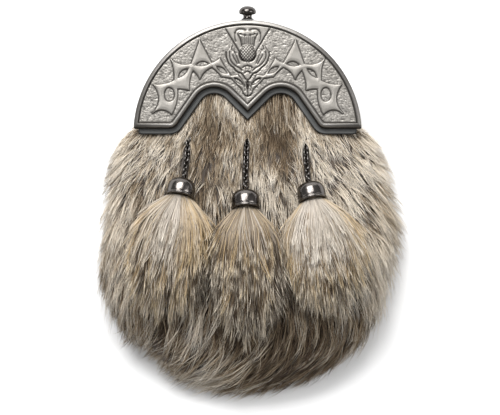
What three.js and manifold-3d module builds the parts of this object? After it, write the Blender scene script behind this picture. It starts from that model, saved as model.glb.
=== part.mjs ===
// Full-dress sporran pouch lying on its back. Millimetres, +Z up: the fur front faces +Z,
// +Y runs towards the clasp knob, +X to the viewer's right. The origin is on the back face.
import * as THREE from "three";
import { mergeVertices } from "three/addons/utils/BufferGeometryUtils.js";
import Module from "manifold-3d";

const wasm = await Module();
wasm.setup();

const degrees = Math.PI / 180;
const pieceGap = 0.3;             // clearance between neighbouring pieces
const backThickness = 2.5;        // leather of the back panel
const neckHeight = 20.6;          // top of the hide neck that carries the yoke and cantle

// Cantle: part of a disc whose lower edge has two arches and a point between them
const cantleCentreY = 39.7;       // centre of the cantle's outer arc
const cantleRadius = 70.2;
const footLevel = 4.3;            // straight ends of the lower edge, above the arc's centre
const archX = 20.5;               // centre of each arch
const archY = 15.3;
const archRadius = 14.1;
const pointSlope = 45 * degrees;  // fall from each arch to the middle point
const footSlope = 55 * degrees;   // fall from each arch to its foot
const plateThickness = 2.6;
const rimWidth = 2.1;
const rimRise = 1.6;              // rim above the pebbled ground
const skirtWidth = 2.2;           // edge turned down round the yoke
const skirtDepth = 4.3;

// Leather yoke under the cantle
const yokeThickness = 3;
const yokeRadius = 67.2;
const yokeShow = 4.2;             // leather that shows below the cantle's lower edge

const yokeBase = neckHeight + pieceGap;
const plateBase = yokeBase + yokeThickness + pieceGap;
const plateTop = plateBase + plateThickness;
const rimTop = plateTop + rimRise;
const skirtBase = plateBase - skirtDepth;

// Fur pouch, a row for each section from its lower end to its mouth.
// left and right are half-widths, wall is hide with fur, power squares the section off.
const pouchSections = [
  { y: -118.5, left: 13, right: 13, height: 9, wall: 14, power: 2.4 },
  { y: -115, left: 29, right: 28, height: 15, wall: 14, power: 2.4 },
  { y: -108, left: 45, right: 44, height: 22.5, wall: 14, power: 2.4 },
  { y: -98, left: 59, right: 58, height: 30, wall: 14, power: 2.4 },
  { y: -85, left: 73, right: 72, height: 36.5, wall: 14, power: 2.4 },
  { y: -68, left: 82, right: 81.5, height: 42, wall: 14, power: 2.5 },
  { y: -50, left: 88.5, right: 87, height: 44.5, wall: 14, power: 2.5 },
  { y: -30, left: 88, right: 91.5, height: 44.5, wall: 14, power: 2.5 },
  { y: -12, left: 86, right: 91.5, height: 42, wall: 14, power: 2.5 },
  { y: 8, left: 84, right: 87.5, height: 36, wall: 13, power: 2.5 },
  { y: 24, left: 80.5, right: 82, height: 28, wall: 9.5, power: 2.8 },
  { y: 34, left: 76, right: 76.5, height: 22.5, wall: 4.5, power: 3.5 },
  { y: 41, left: 69.5, right: 69.5, height: neckHeight, wall: 2.6, power: 5 },
  { y: 47, left: 61.6, right: 61.6, height: neckHeight, wall: 2.6, power: 5 },
  { y: 60, left: 58.6, right: 58.6, height: neckHeight, wall: 2.6, power: 5 },
  { y: 72, left: 52.9, right: 52.9, height: neckHeight, wall: 2.6, power: 5 },
  { y: 84.7, left: 42.6, right: 42.6, height: neckHeight, wall: 2.6, power: 5 },
];
const pouchWaist = 0.34;          // height of the widest line, as a share of the section
const hollowWaist = 0.6;          // the most that line may be in the hollow
const floorTuck = 0.33;           // how far the fur tucks in at the floor, as a share of the wall
const sectionSteps = 20;

// Back panel: fills the pouch's open back, with a lobe above the mouth for the strap
const lobeRadius = 66;
const lobeClearance = 0.4;
const slotX = 20;                 // centre of each strap slot
const slotWidth = 6;
const slotLength = 11;
const slotBase = 86.7;

// Knob on the cantle's top edge: radius and height above the cantle at each step
const knobProfile = [
  { radius: 3.9, height: 0 },
  { radius: 3.7, height: 0.5 },
  { radius: 2.9, height: 1.3 },
  { radius: 2.75, height: 2.6 },
  { radius: 3.1, height: 3.1 },
  { radius: 4.5, height: 3.5 },
  { radius: 5.3, height: 4.4 },
  { radius: 5.35, height: 5.4 },
  { radius: 4.8, height: 6.7 },
  { radius: 3.5, height: 7.8 },
  { radius: 1.8, height: 8.4 },
];
const knobTop = 8.6;

// Tassels: rim centre of the cap, lean to the right, fur length and half-width, chain's top end
const tassels = [
  { side: "left", x: -41.2, y: 1.2, lean: -10.7, length: 77, halfWidth: 25, chainX: -35.2, chainY: 47.8 },
  { side: "centre", x: -1, y: -5.8, lean: 1.5, length: 82, halfWidth: 22.5, chainX: 0, chainY: 47.2 },
  { side: "right", x: 39.6, y: -1, lean: 11, length: 73, halfWidth: 24.5, chainX: 34.8, chainY: 48.4 },
];
// A row for each section of the tassel's fur: along and half are shares of its length and
// half-width, lift is its underside above the pouch's fur.
const tasselSections = [
  { along: -0.06, half: 0.22, lift: 3.2, thick: 11 },
  { along: 0.042, half: 0.25, lift: 2.8, thick: 12 },
  { along: 0.07, half: 0.4, lift: 1.2, thick: 15.5 },
  { along: 0.13, half: 0.64, lift: 0.8, thick: 18 },
  { along: 0.27, half: 0.85, lift: 0.8, thick: 20 },
  { along: 0.46, half: 1, lift: 0.8, thick: 20 },
  { along: 0.68, half: 0.97, lift: 0.8, thick: 18 },
  { along: 0.86, half: 0.78, lift: 0.8, thick: 14 },
  { along: 0.95, half: 0.5, lift: 0.8, thick: 9 },
  { along: 1, half: 0.2, lift: 0.8, thick: 4 },
];
const tasselSides = 16;

const capRadius = 8.3;
const capWall = 1;
const capDomeBase = 3;            // where the straight rim turns into the dome
const capDomeHeight = 8.4;
const capBossRadius = 1.7;
const capBossHeight = 0.8;
const capLift = 0.7;              // cap's side above the pouch's fur
const capTop = capDomeBase + capDomeHeight + capBossHeight;

const chainRadius = 1.5;
const chainSides = 8;
const chainSteps = 14;
const chainLift = 0.7;
const chainBends = 7;             // places where the chain follows the fur

// Finishes
const pewter = new THREE.MeshStandardMaterial({ color: 0xa8a49c, roughness: 0.42, metalness: 1 });
const blackNickel = new THREE.MeshStandardMaterial({ color: 0x3a3836, roughness: 0.2, metalness: 1 });
const yokeLeather = new THREE.MeshStandardMaterial({ color: 0x454745, roughness: 0.6 });
const backLeather = new THREE.MeshStandardMaterial({ color: 0x1d1b1a, roughness: 0.55 });
const pouchHair = new THREE.MeshStandardMaterial({ color: 0x9c8c76, roughness: 0.9 });
const tasselHair = new THREE.MeshStandardMaterial({ color: 0xc3b5a1, roughness: 0.9 });

function meshFrom(points, faces) {
  const geometry = new THREE.BufferGeometry();
  geometry.setAttribute("position", new THREE.Float32BufferAttribute(points.flat(), 3));
  geometry.setIndex(faces);
  geometry.computeVertexNormals();
  return geometry;
}

function solidFrom(geometry) {
  const bare = geometry.clone();
  bare.deleteAttribute("normal");
  bare.deleteAttribute("uv");
  const merged = mergeVertices(bare, 1e-4);
  return new wasm.Manifold(new wasm.Mesh({
    numProp: 3,
    vertProperties: new Float32Array(merged.attributes.position.array),
    triVerts: new Uint32Array(merged.index.array),
  }));
}

function geometryFrom(solid) {
  const mesh = solid.getMesh();
  const geometry = new THREE.BufferGeometry();
  geometry.setAttribute("position", new THREE.Float32BufferAttribute(mesh.vertProperties, 3));
  geometry.setIndex(Array.from(mesh.triVerts));
  geometry.computeVertexNormals();
  return geometry;
}

function slab(shape, base, top, curveSegments = 12) {
  const settings = { depth: top - base, bevelEnabled: false, curveSegments };
  return new THREE.ExtrudeGeometry(shape, settings).translate(0, 0, base);
}

function piece(name, geometry, material) {
  const mesh = new THREE.Mesh(geometry, material);
  mesh.name = name;
  return mesh;
}

// Outline of the cantle about its arc's centre, with its lower edge moved down by drop
function cantleOutline(radius, drop) {
  const bottom = footLevel - drop;
  const arch = archRadius - drop;
  const outerAngle = Math.asin(bottom / radius);
  const footAngle = Math.PI / 2 - footSlope;
  const pointAngle = Math.PI / 2 + pointSlope;
  const footX = archX + arch * Math.cos(footAngle);
  const footY = archY + arch * Math.sin(footAngle);
  const innerX = footX + (footY - bottom) / Math.tan(footSlope);
  const pointX = archX + arch * Math.cos(pointAngle);
  const pointY = archY + arch * Math.sin(pointAngle) - pointX * Math.tan(pointSlope);
  const shape = new THREE.Shape();
  shape.moveTo(radius * Math.cos(outerAngle), bottom);
  shape.absarc(0, 0, radius, outerAngle, Math.PI - outerAngle, false);
  shape.lineTo(-innerX, bottom);
  shape.absarc(-archX, archY, arch, Math.PI - footAngle, Math.PI - pointAngle, true);
  shape.lineTo(0, pointY);
  shape.absarc(archX, archY, arch, pointAngle, footAngle, true);
  shape.lineTo(innerX, bottom);
  shape.closePath();
  return shape;
}

function skirtOutline() {
  const inner = cantleRadius - skirtWidth;
  const outerAngle = Math.asin(footLevel / cantleRadius);
  const innerAngle = Math.asin(footLevel / inner);
  const shape = new THREE.Shape();
  shape.absarc(0, 0, cantleRadius, outerAngle, Math.PI - outerAngle, false);
  shape.absarc(0, 0, inner, Math.PI - innerAngle, innerAngle, true);
  shape.closePath();
  return shape;
}

// One casting: ground plate, raised rim all round it and the skirt behind its outer edge
function cantle() {
  const outline = cantleOutline(cantleRadius, 0);
  const blank = solidFrom(slab(outline, plateBase, rimTop, 16));
  const recess = solidFrom(slab(cantleOutline(cantleRadius - rimWidth, -rimWidth), plateTop, rimTop + 1, 16));
  const skirt = solidFrom(slab(skirtOutline(), skirtBase, plateBase + plateThickness / 2, 16));
  const mesh = piece("cantle", geometryFrom(blank.subtract(recess).add(skirt)), pewter);
  mesh.position.y = cantleCentreY;
  return mesh;
}

function cantleBacking() {
  const outline = cantleOutline(yokeRadius, yokeShow);
  const mesh = piece("cantle_backing", slab(outline, yokeBase, yokeBase + yokeThickness), yokeLeather);
  mesh.position.y = cantleCentreY;
  return mesh;
}

function clasp() {
  const profile = knobProfile.map((step) => new THREE.Vector2(step.radius, step.height));
  profile.unshift(new THREE.Vector2(0, 0));
  profile.push(new THREE.Vector2(0, knobTop));
  const mesh = piece("clasp_knob", new THREE.LatheGeometry(profile, 20), blackNickel);
  mesh.position.set(0, cantleCentreY + cantleRadius + pieceGap, (skirtBase + rimTop) / 2);
  return mesh;
}

// Pouch section at any y, between the two rows of the table on either side
function pouchAt(y) {
  const last = pouchSections.length - 1;
  const next = pouchSections.findIndex((row) => row.y > y);
  const upper = next < 0 ? last : Math.max(next, 1);
  const below = pouchSections[upper - 1];
  const above = pouchSections[upper];
  const share = (y - below.y) / (above.y - below.y);
  const section = {};
  for (const column of Object.keys(below)) {
    section[column] = THREE.MathUtils.lerp(below[column], above[column], share);
  }
  return section;
}

function furTop(x, y) {
  const section = pouchAt(y);
  const waist = pouchWaist * section.height;
  const across = Math.abs(x) / (x < 0 ? section.left : section.right);
  const rise = Math.pow(1 - Math.pow(across, section.power), 1 / section.power);
  return waist + (section.height - waist) * rise;
}

// Points of one section from the right floor edge over the top to the left one
function pouchLoop(section, inset, tuck) {
  const height = section.height - inset;
  const waist = Math.min(pouchWaist * section.height, hollowWaist * height);
  const loop = [];
  for (let step = 0; step <= sectionSteps; step += 1) {
    const angle = Math.PI * step / sectionSteps;
    const side = (step * 2 > sectionSteps ? section.left : section.right) - inset;
    const across = Math.pow(Math.abs(Math.cos(angle)), 2 / section.power) * Math.sign(Math.cos(angle));
    const rise = Math.pow(Math.sin(angle), 2 / section.power);
    loop.push([side * across, section.y, waist + (height - waist) * rise]);
  }
  const right = [section.right - inset - tuck, section.y, 0];
  const left = [-(section.left - inset - tuck), section.y, 0];
  return [right, ...loop, left];
}

// Sections of the pouch's hollow, from the fur's depth above its lower end up to the mouth
function hollowSections() {
  const bottom = pouchSections[0];
  const mouth = pouchSections[pouchSections.length - 1];
  const start = bottom.y + bottom.wall;
  const share = (mouth.y - start) / (mouth.y - bottom.y);
  return pouchSections.map((row) => pouchAt(start + (row.y - bottom.y) * share));
}

// Fur-on-hide shell: open below, where the back closes it, and at the mouth
function pouchFur() {
  const outer = pouchSections.map((row) => pouchLoop(row, 0, floorTuck * row.wall));
  const inner = hollowSections().map((row) => pouchLoop(row, row.wall, 0));
  const rows = outer.length;
  const across = outer[0].length;
  const points = [...outer.flat(), ...inner.flat()];
  const out = (row, column) => row * across + column;
  const into = (row, column) => (rows + row) * across + column;
  const faces = [];
  const quad = (a, b, c, d) => faces.push(a, b, c, a, c, d);
  const top = rows - 1;
  const end = across - 1;
  for (let row = 0; row < top; row += 1) {
    for (let column = 0; column < end; column += 1) {
      quad(out(row, column), out(row + 1, column), out(row + 1, column + 1), out(row, column + 1));
      quad(into(row, column), into(row, column + 1), into(row + 1, column + 1), into(row + 1, column));
    }
    quad(out(row, 0), into(row, 0), into(row + 1, 0), out(row + 1, 0));
    quad(out(row, end), out(row + 1, end), into(row + 1, end), into(row, end));
  }
  for (let column = 0; column < end; column += 1) {
    quad(out(top, column), into(top, column), into(top, column + 1), out(top, column + 1));
  }
  for (let column = 1; column < end; column += 1) {
    faces.push(out(0, 0), out(0, column), out(0, column + 1));
    faces.push(into(0, 0), into(0, column + 1), into(0, column));
  }
  quad(out(0, 0), out(0, end), into(0, end), into(0, 0));
  return piece("pouch_fur", meshFrom(points, faces), pouchHair);
}

function pouchBack() {
  const rows = hollowSections();
  const clear = (row, side) => row[side] - row.wall - lobeClearance;
  const mouth = rows[rows.length - 1];
  const shoulder = mouth.y + lobeClearance - cantleCentreY;
  const lobeAngle = Math.asin(shoulder / lobeRadius);
  const shape = new THREE.Shape();
  shape.moveTo(clear(rows[0], "right"), rows[0].y + lobeClearance);
  for (const row of rows.slice(1)) shape.lineTo(clear(row, "right"), row.y);
  shape.lineTo(clear(mouth, "right"), cantleCentreY + shoulder);
  shape.absarc(0, cantleCentreY, lobeRadius, lobeAngle, Math.PI - lobeAngle, false);
  shape.lineTo(-clear(mouth, "left"), cantleCentreY + shoulder);
  for (const row of rows.slice(1).reverse()) shape.lineTo(-clear(row, "left"), row.y);
  shape.lineTo(-clear(rows[0], "left"), rows[0].y + lobeClearance);
  shape.closePath();
  for (const x of [-slotX, slotX]) {
    const slot = new THREE.Path();
    const round = slotWidth / 2;
    slot.absarc(x, slotBase + round, round, Math.PI, 2 * Math.PI, false);
    slot.absarc(x, slotBase + slotLength - round, round, 0, Math.PI, false);
    slot.closePath();
    shape.holes.push(slot);
  }
  return piece("pouch_back", slab(shape, 0, backThickness, 8), backLeather);
}

// Direction from a tassel's cap rim to its top, along the lean and the slope of the fur
function capAxis(tassel) {
  const lean = tassel.lean * degrees;
  const reach = capTop;
  const here = furTop(tassel.x, tassel.y);
  const there = furTop(tassel.x - reach * Math.sin(lean), tassel.y + reach * Math.cos(lean));
  return new THREE.Vector3(-Math.sin(lean) * reach, Math.cos(lean) * reach, there - here).normalize();
}

function capRim(tassel) {
  return new THREE.Vector3(tassel.x, tassel.y, furTop(tassel.x, tassel.y) + capRadius + capLift);
}

function tasselCap(tassel) {
  const domeSteps = 6;
  const domeEnd = Math.acos(capBossRadius / capRadius);
  const inside = capRadius - capWall;
  const profile = [new THREE.Vector2(0, capDomeBase + capDomeHeight - capWall)];
  for (let step = domeSteps - 1; step >= 0; step -= 1) {
    const angle = Math.PI / 2 * step / domeSteps;
    const height = capDomeBase + (capDomeHeight - capWall) * Math.sin(angle);
    profile.push(new THREE.Vector2(inside * Math.cos(angle), height));
  }
  profile.push(new THREE.Vector2(inside, 0), new THREE.Vector2(capRadius, 0));
  for (let step = 0; step <= domeSteps; step += 1) {
    const angle = domeEnd * step / domeSteps;
    const height = capDomeBase + capDomeHeight * Math.sin(angle);
    profile.push(new THREE.Vector2(capRadius * Math.cos(angle), height));
  }
  profile.push(new THREE.Vector2(capBossRadius, capTop), new THREE.Vector2(0, capTop));
  const mesh = piece(`tassel_cap_${tassel.side}`, new THREE.LatheGeometry(profile, 24), blackNickel);
  mesh.position.copy(capRim(tassel));
  mesh.quaternion.setFromUnitVectors(new THREE.Vector3(0, 1, 0), capAxis(tassel));
  return mesh;
}

// Fur of a tassel: it hangs out of its cap and lies along the pouch's fur
function tasselFur(tassel) {
  const lean = tassel.lean * degrees;
  const points = [];
  for (const row of tasselSections) {
    const along = row.along * tassel.length;
    const half = row.half * tassel.halfWidth;
    for (let side = 0; side < tasselSides; side += 1) {
      const angle = 2 * Math.PI * side / tasselSides;
      const across = half * Math.cos(angle);
      const x = tassel.x + along * Math.sin(lean) + across * Math.cos(lean);
      const y = tassel.y - along * Math.cos(lean) + across * Math.sin(lean);
      const height = row.lift + row.thick * (1 + Math.sin(angle)) / 2;
      points.push([x, y, furTop(x, y) + height]);
    }
  }
  const faces = [];
  const last = tasselSections.length - 1;
  const at = (row, side) => row * tasselSides + side % tasselSides;
  for (let side = 0; side < tasselSides; side += 1) {
    for (let row = 0; row < last; row += 1) {
      faces.push(at(row, side), at(row + 1, side + 1), at(row + 1, side));
      faces.push(at(row, side), at(row, side + 1), at(row + 1, side + 1));
    }
  }
  for (let side = 1; side < tasselSides - 1; side += 1) {
    faces.push(at(0, 0), at(0, side + 1), at(0, side));
    faces.push(at(last, 0), at(last, side), at(last, side + 1));
  }
  return piece(`tassel_fur_${tassel.side}`, meshFrom(points, faces), tasselHair);
}

// Chain's route: out from under the yoke's edge, down the fur and up to the cap's boss
function tasselChain(tassel) {
  const axis = capAxis(tassel);
  const end = capRim(tassel).addScaledVector(axis, capTop + pieceGap);
  const beforeEnd = end.clone().addScaledVector(axis, 3 * chainRadius);
  const route = [];
  for (let bend = 0; bend < chainBends; bend += 1) {
    const share = bend / chainBends;
    const x = THREE.MathUtils.lerp(tassel.chainX, beforeEnd.x, share);
    const y = THREE.MathUtils.lerp(tassel.chainY, beforeEnd.y, share);
    route.push(new THREE.Vector3(x, y, furTop(x, y) + chainRadius + chainLift));
  }
  route.push(beforeEnd, end);
  const section = new THREE.Shape();
  for (let side = 0; side < chainSides; side += 1) {
    const angle = 2 * Math.PI * side / chainSides;
    const corner = new THREE.Vector2(chainRadius * Math.cos(angle), chainRadius * Math.sin(angle));
    if (side) section.lineTo(corner.x, corner.y);
    else section.moveTo(corner.x, corner.y);
  }
  section.closePath();
  const extrudePath = new THREE.CatmullRomCurve3(route);
  const tube = new THREE.ExtrudeGeometry(section, { extrudePath, steps: chainSteps, bevelEnabled: false });
  return piece(`tassel_chain_${tassel.side}`, tube, blackNickel);
}

const sporran = new THREE.Group();
sporran.add(cantle(), cantleBacking(), clasp(), pouchFur(), pouchBack());
for (const tassel of tassels) {
  sporran.add(tasselChain(tassel), tasselCap(tassel), tasselFur(tassel));
}

export default sporran;
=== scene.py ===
import math

import bmesh
import bpy
import numpy as np
from mathutils import Matrix, Vector
from mathutils.bvhtree import BVHTree


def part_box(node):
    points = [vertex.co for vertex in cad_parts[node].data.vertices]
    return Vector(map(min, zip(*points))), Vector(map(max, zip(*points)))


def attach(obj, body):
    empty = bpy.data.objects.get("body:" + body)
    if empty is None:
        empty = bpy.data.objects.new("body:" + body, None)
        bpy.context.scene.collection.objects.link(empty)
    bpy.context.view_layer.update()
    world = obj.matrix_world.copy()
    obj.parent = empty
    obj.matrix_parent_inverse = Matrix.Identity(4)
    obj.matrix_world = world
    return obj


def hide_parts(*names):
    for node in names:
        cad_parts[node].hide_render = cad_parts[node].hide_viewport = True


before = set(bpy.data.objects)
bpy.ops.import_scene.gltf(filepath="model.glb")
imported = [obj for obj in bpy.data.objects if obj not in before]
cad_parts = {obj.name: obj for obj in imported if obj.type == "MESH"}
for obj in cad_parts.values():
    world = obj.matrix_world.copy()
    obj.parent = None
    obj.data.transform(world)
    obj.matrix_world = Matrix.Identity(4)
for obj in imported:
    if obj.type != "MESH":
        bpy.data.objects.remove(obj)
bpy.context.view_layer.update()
scene = bpy.context.scene
mm = 0.001
anyPhase = 6.28       # waves of the hair start anywhere in a turn
tasselSides = ("left", "centre", "right")


def hexColour(code):
    # sRGB hex to the linear colour that nodes take
    parts = [int(code[i:i + 2], 16) / 255 for i in (1, 3, 5)]
    linear = [c / 12.92 if c <= 0.04045 else ((c + 0.055) / 1.055) ** 2.4 for c in parts]
    return (*linear, 1)


def table(columns, rows):
    # each row of values as a dictionary with the columns' names
    return [dict(zip(columns.split(), row)) for row in rows]


def smoothStep(low, high, value):
    t = np.clip((value - low) / (high - low), 0, 1)
    return t * t * (3 - 2 * t)


def bell(value, middle=0, width=1):
    return np.exp(-((value - middle) / width) ** 2)


def unit(vectors):
    return vectors / (np.linalg.norm(vectors, axis=2, keepdims=True) + 1e-12)


def setInputs(tree, node, inputs):
    # each input takes a value, or a link from another node's output
    for name, value in inputs.items():
        if isinstance(value, bpy.types.NodeSocket):
            tree.links.new(value, node.inputs[name])
        else:
            node.inputs[name].default_value = value


def addNode(tree, kind, settings=None, inputs=None, stops=None):
    node = tree.nodes.new(kind)
    for name, value in (settings or {}).items():
        setattr(node, name, value)
    setInputs(tree, node, inputs or {})
    for i, (place, colour) in enumerate(stops or []):
        ramp = node.color_ramp.elements
        stop = ramp[i] if i < 2 else ramp.new(place)
        stop.position = place
        stop.color = colour
    return node


def newMaterial(name):
    material = bpy.data.materials.new(name)
    material.use_nodes = True
    tree = material.node_tree
    return material, tree, tree.nodes["Principled BSDF"]


def addObject(name, data):
    thing = bpy.data.objects.new(name, data)
    scene.collection.objects.link(thing)
    return thing


def finishPiece(name, source, material, replaced=None, smooth=True):
    # source is a bmesh or a mesh; the object sits at the origin with its place in its mesh
    if isinstance(source, bmesh.types.BMesh):
        mesh = bpy.data.meshes.new(name)
        source.to_mesh(mesh)
        source.free()
    else:
        mesh = source
    piece = addObject(name, mesh)
    for one in material if isinstance(material, list) else [material]:
        mesh.materials.append(one)
    mesh.polygons.foreach_set("use_smooth", np.full(len(mesh.polygons), smooth))
    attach(piece, "root")
    if replaced:
        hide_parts(replaced)


# Camera, floor and light
shot = {
    "pixelSize": 0.614 * mm,      # one photo pixel at the cantle's height
    "width": 500,
    "centre": (1.5 * mm, -5.2 * mm, 27 * mm),
    "distance": 1.6,
    "floorSize": 3,
    "skyStrength": 0.28,
}
lamps = table("name at size watts", [
    ("key", (-0.28, 1.08, 1.15), (1.2, 0.7), 35),
    ("softbox", (-0.42, 0.72, 1.5), (0.42, 1.3), 8.5),
    ("fill", (1.1, 0.15, 1.0), (0.6, 0.8), 8.5),
    ("sideFill", (-1.2, -0.3, 0.7), (0.8, 0.6), 2.6),
    ("backPanel", (0, 1.7, 0.4), (2.2, 0.7), 8),
])


def buildStage():
    camera = bpy.data.cameras.new("camera")
    camera.sensor_width = 36
    camera.lens = camera.sensor_width * shot["distance"] / (shot["width"] * shot["pixelSize"])
    camera.clip_end = 20
    x, y, z = shot["centre"]
    scene.camera = addObject("camera", camera)
    scene.camera.location = (x, y, z + shot["distance"])

    bm = bmesh.new()
    bmesh.ops.create_grid(bm, x_segments=8, y_segments=8, size=shot["floorSize"])
    mesh = bpy.data.meshes.new("floor")
    bm.to_mesh(mesh)
    bm.free()
    # White paper: matt and even, so that only the soft shadow shows on it
    paper, tree, shader = newMaterial("white paper sweep")
    setInputs(tree, shader, {"Base Color": hexColour("#f4f4f4"), "Roughness": 0.9})
    mesh.materials.append(paper)
    floor = addObject("floor", mesh)

    for lamp in lamps:
        light = bpy.data.lights.new(lamp["name"], "AREA")
        light.shape = "RECTANGLE"
        light.size, light.size_y = lamp["size"]
        light.energy = lamp["watts"]
        holder = addObject(lamp["name"], light)
        holder.location = lamp["at"]
        holder.rotation_euler = (-Vector(lamp["at"])).to_track_quat("-Z", "Y").to_euler()
    world = bpy.data.worlds.new("studio")
    scene.world = world
    world.use_nodes = True
    sky = world.node_tree.nodes["Background"].inputs
    sky["Color"].default_value = hexColour("#ffffff")
    sky["Strength"].default_value = shot["skyStrength"]
    scene.view_settings.view_transform = "Standard"


buildStage()
print("stage ready")


def clouded(name, dark, light, size, detail, gloss, grit=None):
    # clouds of two tones, with a roughness that follows them or a finer grit
    material, tree, shader = newMaterial(name)
    place = addNode(tree, "ShaderNodeTexCoord").outputs["Object"]
    clouds = addNode(tree, "ShaderNodeTexNoise", None,
                     {"Vector": place, "Scale": 1 / size, "Detail": detail}).outputs["Fac"]
    tone = addNode(tree, "ShaderNodeValToRGB", None, {"Fac": clouds},
                   [(0.3, hexColour(dark)), (0.7, hexColour(light))]).outputs["Color"]
    fine = clouds
    if grit:
        fine = addNode(tree, "ShaderNodeTexNoise", None,
                       {"Vector": place, "Scale": 1 / grit, "Detail": 2}).outputs["Fac"]
    rough = addNode(tree, "ShaderNodeMapRange", None,
                    {"Value": fine, "To Min": gloss[0], "To Max": gloss[1]}).outputs["Result"]
    setInputs(tree, shader, {"Base Color": tone, "Roughness": rough})
    return material, tree, shader, place, tone


# Antique pewter: cast, blackened, then rubbed bright on the high parts, so recesses stay dark.
# The grit left by rubbing is drawn coarser than it is, so that it shows
def antiquePewter(name, dark, light):
    material, tree, shader, _, tone = clouded(name, dark, light, 6 * mm, 4, (0.34, 0.52), 0.5 * mm)
    # the attribute holds the patina of the recesses, and painted shade on the rim's sides and the plate's
    # lower edges
    patinaAndShade = addNode(tree, "ShaderNodeAttribute", {"attribute_name": "patinaAndShade"}).outputs["Fac"]
    mix = addNode(tree, "ShaderNodeMix", {"data_type": "RGBA"},
                  {"Factor": patinaAndShade, "A": tone, "B": hexColour("#1e1a17")})
    setInputs(tree, shader, {"Base Color": mix.outputs["Result"], "Metallic": 0.85})
    return material


# Black nickel plate: near-black metal, polished on chain and knob, satin and paler on the caps
def blackNickel(name, dark, light, gloss):
    material, tree, shader, _, _ = clouded(name, dark, light, 3 * mm, 3, gloss)
    setInputs(tree, shader, {"Metallic": 1})
    return material


# Bridle leather: smooth pigmented hide, dull and even; the cut edge is inked black. Its pores are drawn
# coarser than they are, so that they show. The felted undercoat under the hair is as dull, in browns
# dark enough to paint the shade deep between the locks
def bridleLeather(name, light, dark, poreSize):
    material, tree, shader, place, _ = clouded(name, dark, light, 9 * mm, 5, (0.5, 0.66))
    cells = addNode(tree, "ShaderNodeTexVoronoi", None, {"Vector": place, "Scale": 1 / poreSize})
    bump = addNode(tree, "ShaderNodeBump", None,
                   {"Height": cells.outputs["Distance"], "Strength": 0.35, "Distance": 0.15 * mm})
    setInputs(tree, shader, {"Normal": bump.outputs["Normal"]})
    return material


# Long animal hair: banded from a dark root to a pale tip, with a soft gloss.
# u of the strand map runs through the tints, v from root to tip
def longHair(name, roots, middles, tips, bounds, gloss):
    material, tree, shader = newMaterial(name)
    strand = addNode(tree, "ShaderNodeUVMap", {"uv_map": "OFBake"})
    split = addNode(tree, "ShaderNodeSeparateXYZ", None, {"Vector": strand.outputs["UV"]})
    bands = []
    for colours in (roots, middles, tips):
        stops = [(i / (len(colours) - 1), hexColour(c)) for i, c in enumerate(colours)]
        bands.append(addNode(tree, "ShaderNodeValToRGB", None, {"Fac": split.outputs["X"]}, stops))
    colour = bands[0].outputs["Color"]
    for band, start, end in ((bands[1], bounds[0], bounds[1]), (bands[2], bounds[2], bounds[3])):
        share = addNode(tree, "ShaderNodeMapRange", {"interpolation_type": "SMOOTHSTEP"},
                        {"Value": split.outputs["Y"], "From Min": start, "From Max": end})
        mix = addNode(tree, "ShaderNodeMix", {"data_type": "RGBA"},
                      {"Factor": share.outputs["Result"], "A": colour, "B": band.outputs["Color"]})
        colour = mix.outputs["Result"]
    setInputs(tree, shader, {"Base Color": colour, "Roughness": 0.55, "Specular IOR Level": gloss})
    return material


pewter = antiquePewter("antique pewter", "#8d8983", "#a19d97")
rubbedPewter = antiquePewter("rubbed pewter", "#7a7772", "#868380")
nickel = blackNickel("black nickel plate", "#4a4745", "#595653", (0.12, 0.24))
satinNickel = blackNickel("satin black nickel", "#5a5653", "#676360", (0.17, 0.25))
yokeLeather = bridleLeather("grey bridle leather", "#4b4c4b", "#424342", 0.5 * mm)
edgeInk = bridleLeather("black edge ink", "#1c1b1a", "#121110", 0.8 * mm)
backLeather = bridleLeather("black bridle leather", "#262322", "#191716", 0.9 * mm)
# dark brown undercoat, also painted shade in the gaps between the locks
undercoatAndShade = bridleLeather("undercoat on hide and painted shade", "#473a2d", "#2c231b", 0.6 * mm)
tasselWool = bridleLeather("tassel undercoat", "#8d7e6b", "#6d604f", 0.6 * mm)
pouchHair = longHair("long agouti hair",
                     ["#1f1812", "#30261c", "#524538", "#8a7c6b"],
                     ["#372a1f", "#6c5a45", "#a49279", "#ded3c2"],
                     ["#4a3c2e", "#947f64", "#cbbca5", "#f8f2e8"],
                     (0.05, 0.5, 0.5, 0.92), 0.3)
tasselHair = longHair("pale tassel hair",
                      ["#85796b", "#948879", "#b8a382", "#b2a89b", "#cbc3b9"],
                      ["#2c231b", "#5c4e3f", "#b59c75", "#b1a697", "#d6cec3"],
                      ["#4a3f34", "#eee2cf", "#d3be98", "#d8cdbd", "#eee7dc"],
                      (0.2, 0.52, 0.56, 0.78), 0.16)
print("materials ready")


# Cantle outline about the centre of its arc, in millimetres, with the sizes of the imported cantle
cantle = {
    "centreY": 39.7,
    "radius": 70.2,
    "footLevel": 4.3,
    "archX": 20.5,
    "archY": 15.3,
    "archRadius": 14.1,
    "pointSlope": math.radians(45),
    "footSlope": math.radians(55),
    "cornerRound": 1.5,
    "archSteps": 28,
    "arcSteps": 150,
    "plateBase": 24.2,
    "plateSink": 0.5,             # top of the plate under the ground of the relief
    "plateEdge": 0.3,
    "plateBlackAndShadow": 0.97,
    "ground": 26.8,
    "rimWidth": 2.6,
    "rimSharpens": 0.4,           # loss of the corners' round for each millimetre inwards
    "arcFade": (65.2, 67.2),      # distance from the centre where arches end and the arc starts
    "rimSideShade": 0.48,          # painted shade: the rim darkens down the sides of its arc, away from its top
    "rimShadeFade": (0.92, 0.6),
    "flange": 0.9,                # blackened foot of the casting past the rim; near black, it also paints the shadow the cantle casts along its lower edges
    "skirtBase": 19.9,
    "skirtSink": 0.4,
    "skirtWidth": 2.2,
    "skirtEdge": 0.5,
    "skirtInset": 0.05,
    "skirtFoot": 1,               # the skirt ends this far above the feet
    "skirtSteps": 160,
}


def arcPoints(cx, cy, radius, start, end, steps):
    angles = np.linspace(start, end, steps)
    return [(cx + radius * math.cos(a), cy + radius * math.sin(a)) for a in angles]


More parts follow.
